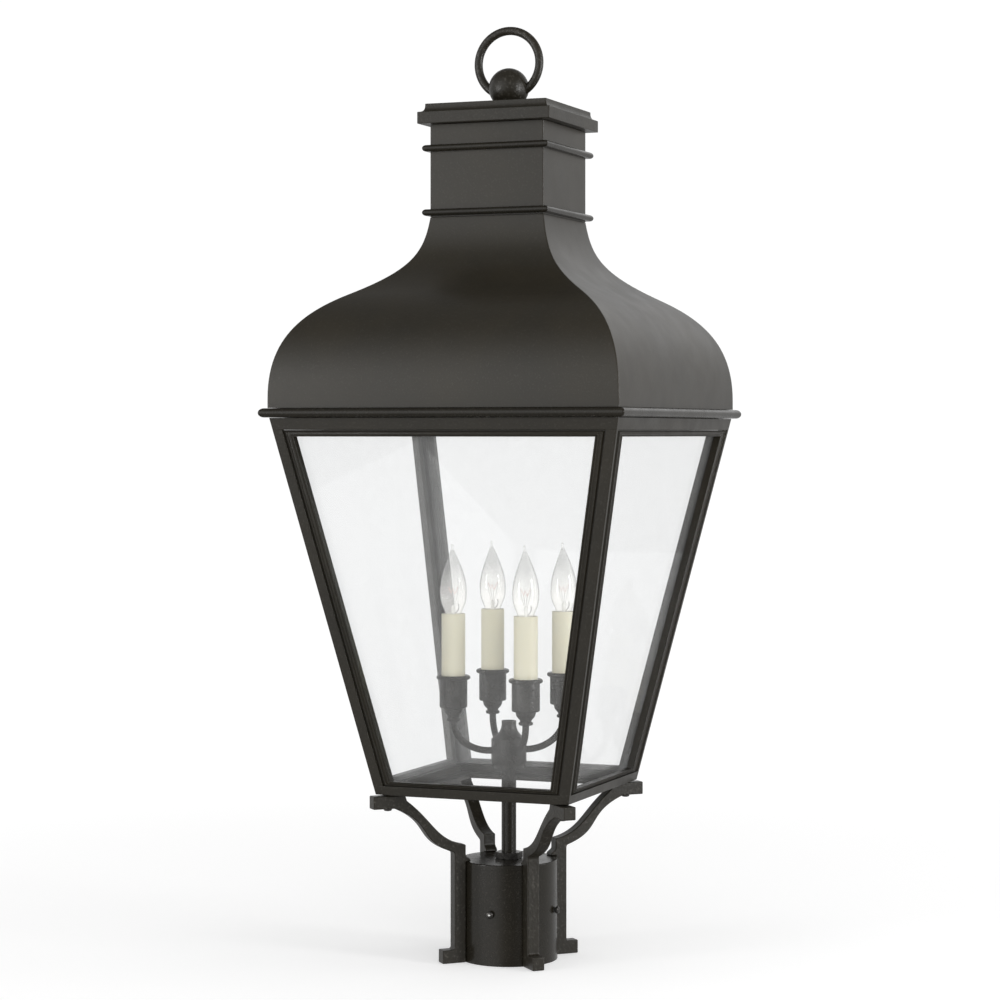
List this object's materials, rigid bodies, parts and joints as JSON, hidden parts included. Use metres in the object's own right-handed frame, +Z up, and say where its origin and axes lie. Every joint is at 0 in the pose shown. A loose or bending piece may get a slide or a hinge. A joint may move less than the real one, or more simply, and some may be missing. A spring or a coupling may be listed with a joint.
{
  "type": "post lantern",
  "caption": "Square tapered post-top lantern with clear panes, an ogee roof with chimney and lifting ring, a candle cluster, and scrolled legs on a round post fitter.",
  "frame": {"origin": "centre of the post fitter's lower end, level with the undersides of the legs' feet", "axes": "+Z up along the fitter, stem and chimney; -Y is the front pane, +X the right pane; the lifting ring lies in the XZ plane"},
  "size_m": [0.3556, 0.3556, 0.8875],
  "materials": {
    "bronze": "dark bronze powder coat, satin with a fine sandy grain",
    "fastener": "blackened steel, semi-gloss",
    "pane_glass": "clear flat glass",
    "candle_sleeve": "ivory moulded sleeve, eggshell",
    "lampholder": "off-white moulded lampholder",
    "bulb_glass": "clear blown glass on a small brass screw base"
  },
  "bodies": {
    "lantern": {"finial_ring": "bronze", "finial_ball": "bronze", "cap_plate": "bronze", "chimney": "bronze", "lower_bead": "bronze", "upper_bead": "bronze", "roof": "bronze", "eave_bead": "bronze", "top_frame": "bronze", "bottom_frame": "bronze", "fitter_tube": "bronze", "fitter_top": "bronze", "stem_tube": "bronze", "cluster_body": "bronze", "corner_post_1": "bronze", "corner_post_2": "bronze", "corner_post_3": "bronze", "corner_post_4": "bronze", "glazing_frame_front": "bronze", "glazing_frame_right": "bronze", "glazing_frame_back": "bronze", "glazing_frame_left": "bronze", "leg_1": "bronze", "leg_2": "bronze", "leg_3": "bronze", "leg_4": "bronze", "arm_1": "bronze", "arm_2": "bronze", "arm_3": "bronze", "arm_4": "bronze", "cup_1": "bronze", "cup_2": "bronze", "cup_3": "bronze", "cup_4": "bronze", "finial_bolt": "fastener", "stem_nut": "fastener", "leg_screw_1": "fastener", "leg_screw_2": "fastener", "leg_screw_3": "fastener", "leg_screw_4": "fastener", "glass_front": "pane_glass", "glass_right": "pane_glass", "glass_back": "pane_glass", "glass_left": "pane_glass", "sleeve_1": "candle_sleeve", "sleeve_2": "candle_sleeve", "sleeve_3": "candle_sleeve", "sleeve_4": "candle_sleeve", "socket_1": "lampholder", "socket_2": "lampholder", "socket_3": "lampholder", "socket_4": "lampholder"},
    "bulb_1": {"bulb_1": "bulb_glass"},
    "bulb_2": {"bulb_2": "bulb_glass"},
    "bulb_3": {"bulb_3": "bulb_glass"},
    "bulb_4": {"bulb_4": "bulb_glass"},
    "set_screw_back": {"set_screw_back": "fastener"},
    "set_screw_front": {"set_screw_front": "fastener"},
    "set_screw_left": {"set_screw_left": "fastener"},
    "set_screw_right": {"set_screw_right": "fastener"}
  },
  "joints": [
    {"name": "bulb_1_unscrew", "type": "slide", "parent": "lantern", "child": "bulb_1", "axis": [0, 0, 1], "range_m": [0, 0.02]},
    {"name": "bulb_2_unscrew", "type": "slide", "parent": "lantern", "child": "bulb_2", "axis": [0, 0, 1], "range_m": [0, 0.02]},
    {"name": "bulb_3_unscrew", "type": "slide", "parent": "lantern", "child": "bulb_3", "axis": [0, 0, 1], "range_m": [0, 0.02]},
    {"name": "bulb_4_unscrew", "type": "slide", "parent": "lantern", "child": "bulb_4", "axis": [0, 0, 1], "range_m": [0, 0.02]},
    {"name": "set_screw_front_turn", "type": "slide", "parent": "lantern", "child": "set_screw_front", "axis": [0, -1, 0], "range_m": [-0.0016, 0.006]},
    {"name": "set_screw_right_turn", "type": "slide", "parent": "lantern", "child": "set_screw_right", "axis": [1, 0, 0], "range_m": [-0.0016, 0.006]},
    {"name": "set_screw_back_turn", "type": "slide", "parent": "lantern", "child": "set_screw_back", "axis": [0, 1, 0], "range_m": [-0.0016, 0.006]},
    {"name": "set_screw_left_turn", "type": "slide", "parent": "lantern", "child": "set_screw_left", "axis": [-1, 0, 0], "range_m": [-0.0016, 0.006]}
  ]
}
